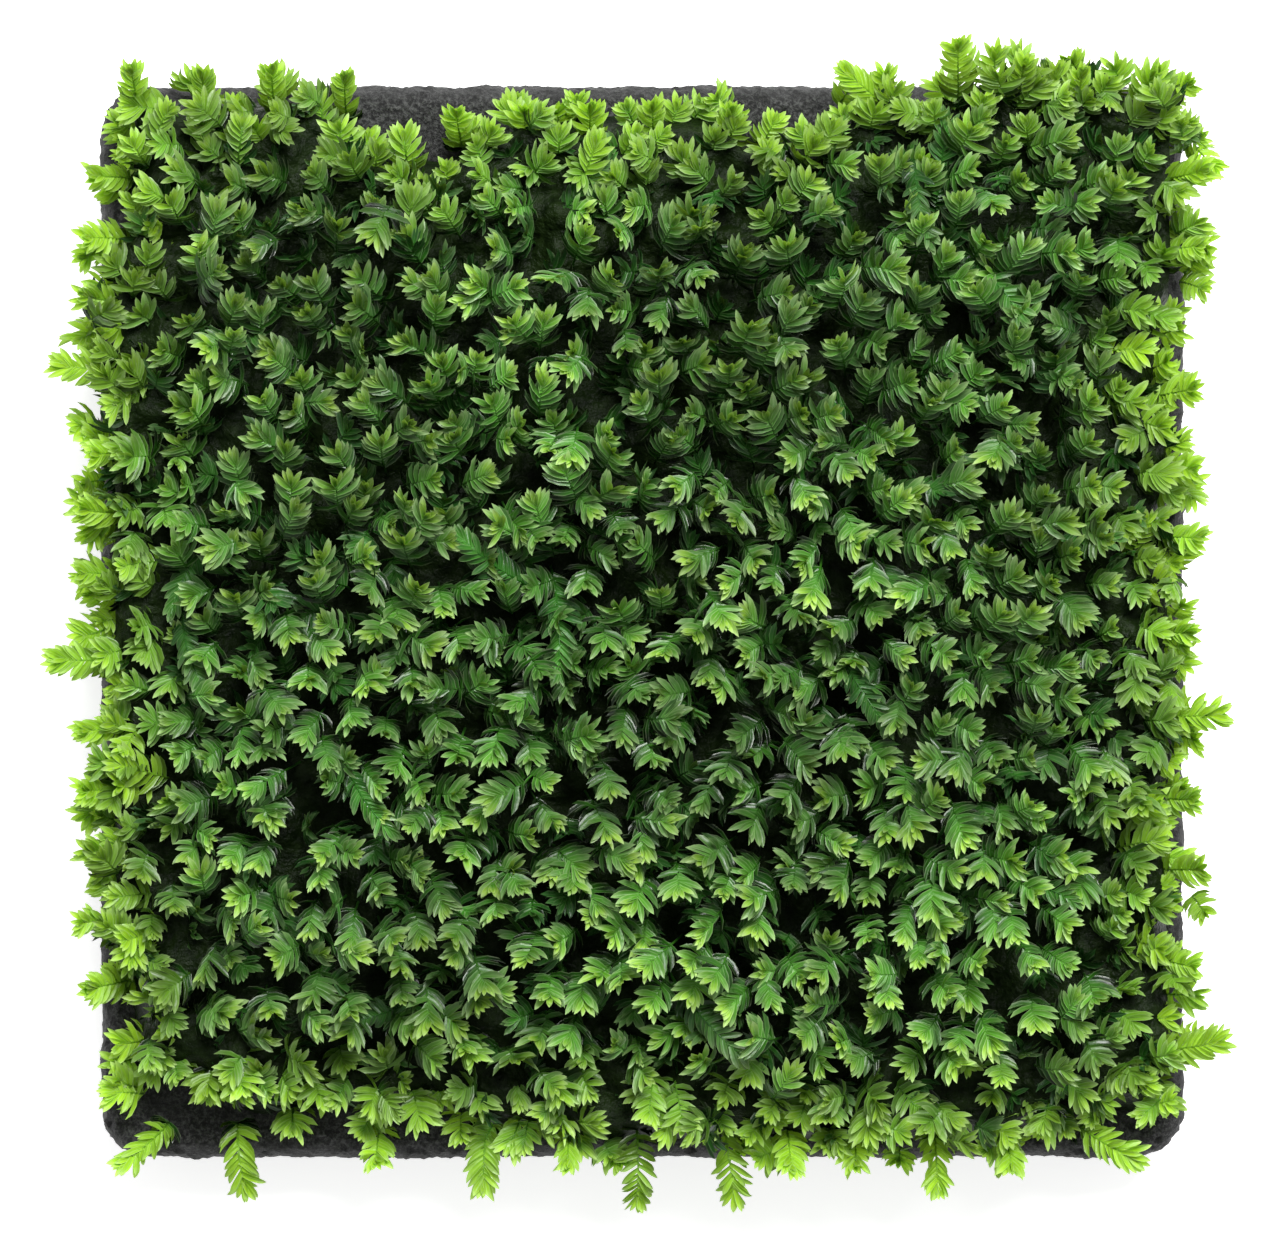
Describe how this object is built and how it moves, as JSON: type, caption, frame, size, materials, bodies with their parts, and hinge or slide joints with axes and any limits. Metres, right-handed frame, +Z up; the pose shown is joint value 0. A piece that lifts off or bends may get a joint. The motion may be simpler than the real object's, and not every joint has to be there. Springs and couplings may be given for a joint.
{
  "type": "moss clump on a square ceramic tile",
  "caption": "Square black porous ceramic tile carpeted with short, upright, feather-leaved green moss whose outer shoots lean out over the tile's edges; lies flat.",
  "frame": {"origin": "centre of the tile's flat underside", "axes": "+Z up out of the tile, +Y towards the side with the tall shoots and the bare strip, +X to the right of it when looked at from above"},
  "size_m": [0.0875, 0.088, 0.0242],
  "materials": {
    "black_porous_ceramic": "matte",
    "moss_carpet": "satin",
    "edge_shoots": "satin"
  },
  "bodies": {
    "root": {"tile": "black_porous_ceramic", "moss_mat": "moss_carpet", "shoot_north_1": "edge_shoots", "shoot_north_2": "edge_shoots", "shoot_north_3": "edge_shoots", "shoot_north_4": "edge_shoots", "shoot_north_5": "edge_shoots", "shoot_north_6": "edge_shoots", "shoot_north_7": "edge_shoots", "shoot_north_8": "edge_shoots", "shoot_north_9": "edge_shoots", "shoot_north_10": "edge_shoots", "shoot_north_11": "edge_shoots", "shoot_north_12": "edge_shoots", "shoot_north_13": "edge_shoots", "shoot_north_14": "edge_shoots", "shoot_east_1": "edge_shoots", "shoot_east_2": "edge_shoots", "shoot_east_3": "edge_shoots", "shoot_east_4": "edge_shoots", "shoot_east_5": "edge_shoots", "shoot_east_6": "edge_shoots", "shoot_east_7": "edge_shoots", "shoot_east_8": "edge_shoots", "shoot_east_9": "edge_shoots", "shoot_east_10": "edge_shoots", "shoot_east_11": "edge_shoots", "shoot_south_1": "edge_shoots", "shoot_south_2": "edge_shoots", "shoot_south_3": "edge_shoots", "shoot_south_4": "edge_shoots", "shoot_south_5": "edge_shoots", "shoot_south_6": "edge_shoots", "shoot_south_7": "edge_shoots", "shoot_south_8": "edge_shoots", "shoot_south_9": "edge_shoots", "shoot_south_10": "edge_shoots", "shoot_south_11": "edge_shoots", "shoot_south_12": "edge_shoots", "shoot_west_1": "edge_shoots", "shoot_west_2": "edge_shoots", "shoot_west_3": "edge_shoots", "shoot_west_4": "edge_shoots", "shoot_west_5": "edge_shoots", "shoot_west_6": "edge_shoots", "shoot_west_7": "edge_shoots", "shoot_west_8": "edge_shoots", "shoot_west_9": "edge_shoots", "shoot_west_10": "edge_shoots", "shoot_west_11": "edge_shoots", "shoot_west_12": "edge_shoots", "shoot_west_13": "edge_shoots"}
  },
  "joints": []
}
